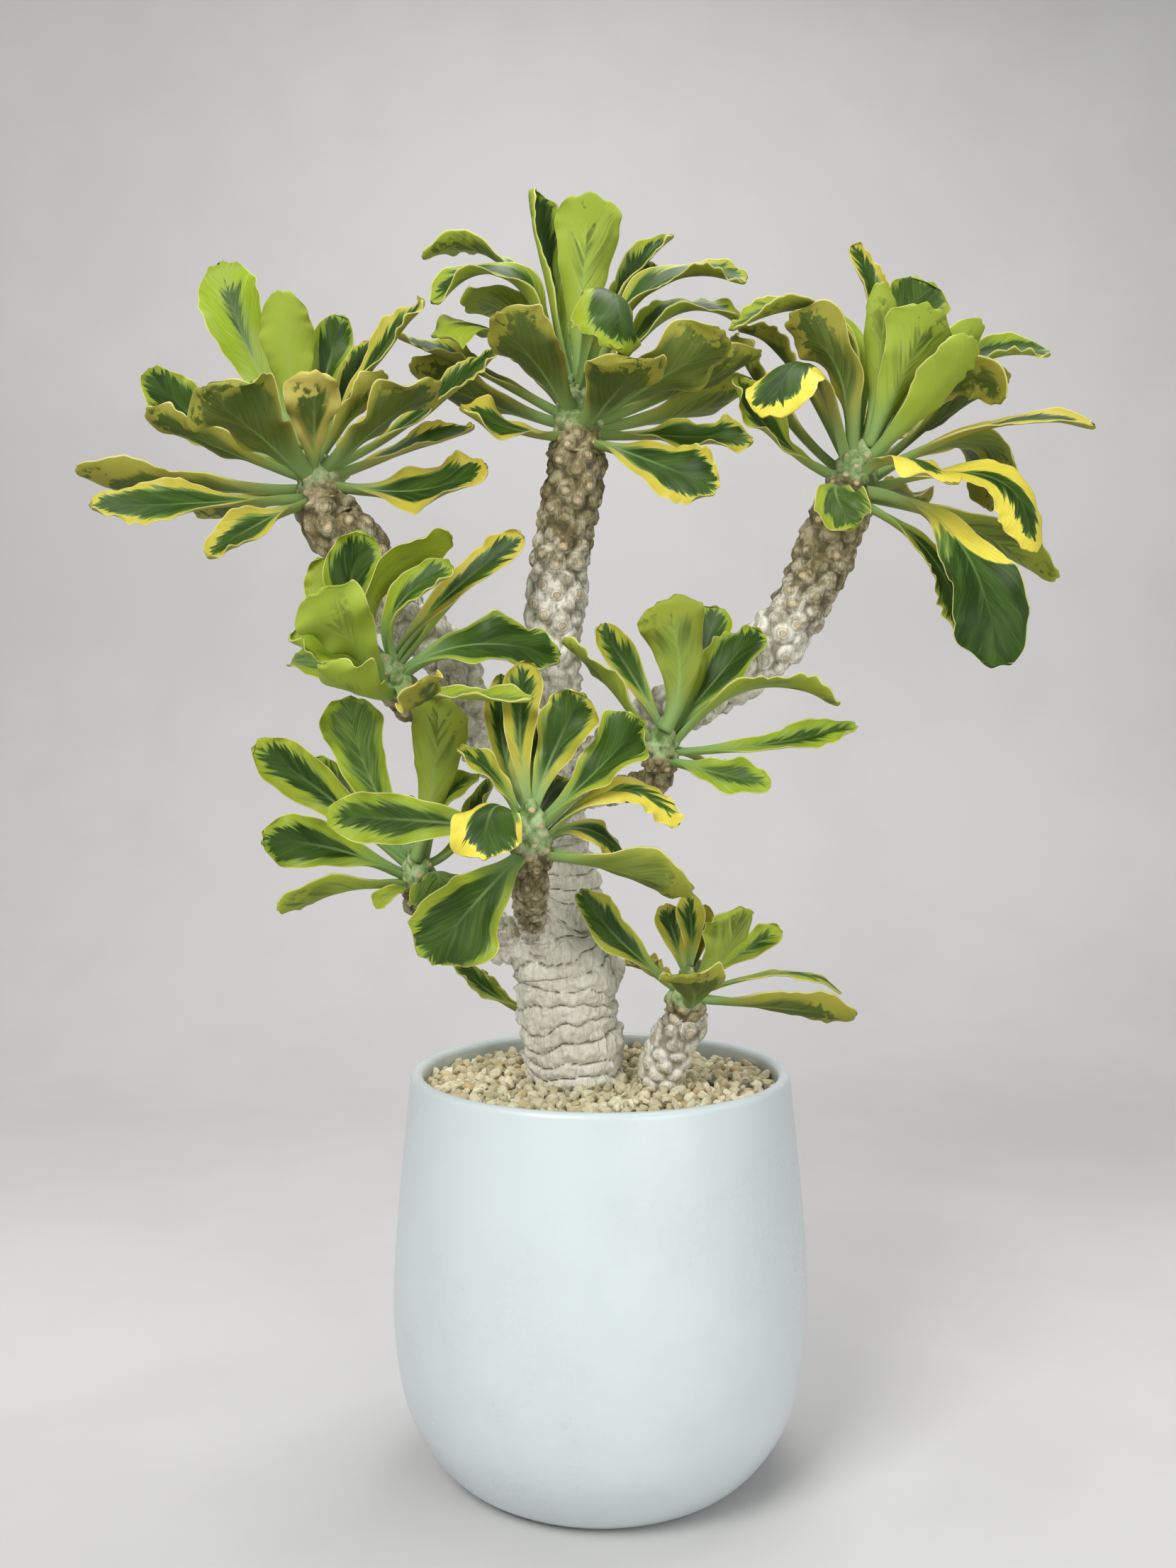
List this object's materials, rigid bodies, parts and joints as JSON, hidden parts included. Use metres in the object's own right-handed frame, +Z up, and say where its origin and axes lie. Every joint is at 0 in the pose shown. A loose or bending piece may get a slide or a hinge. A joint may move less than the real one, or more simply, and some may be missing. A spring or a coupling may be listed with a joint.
{
  "type": "potted variegated euphorbia poissonii",
  "caption": "Branched succulent with knobbly grey stems and rosettes of yellow-edged green leaves in a round white pot topped with pumice.",
  "frame": {"origin": "centre of the pot's flat underside", "axes": "+Z up, +X to the right and -Y to the front as the plant is shown"},
  "size_m": [0.6378, 0.2745, 0.8098],
  "materials": {
    "glaze": "white satin glaze with a faint orange-peel surface and fine specks",
    "potting_mix": "dark loose bark and grit mix",
    "pumice": "dry matt cream to tan pumice grains of 5 to 7 mm",
    "bark": "pale grey corky bark with ridges, knobs and round tan leaf scars",
    "variegated_leaf": "smooth waxy leaf, deep green middle feathering into lime and yellow margins"
  },
  "bodies": {
    "root": {"pot": "glaze", "potting_mix": "potting_mix", "pumice_topdressing": "pumice", "trunk_and_branches": "bark", "side_stem": "bark", "rosette_top_left": "variegated_leaf", "rosette_top_centre": "variegated_leaf", "rosette_top_right": "variegated_leaf", "rosette_mid_left": "variegated_leaf", "rosette_mid_right": "variegated_leaf", "rosette_front": "variegated_leaf", "rosette_low_left": "variegated_leaf", "rosette_side_plant": "variegated_leaf", "rosette_basal_shoot": "variegated_leaf"}
  },
  "joints": []
}
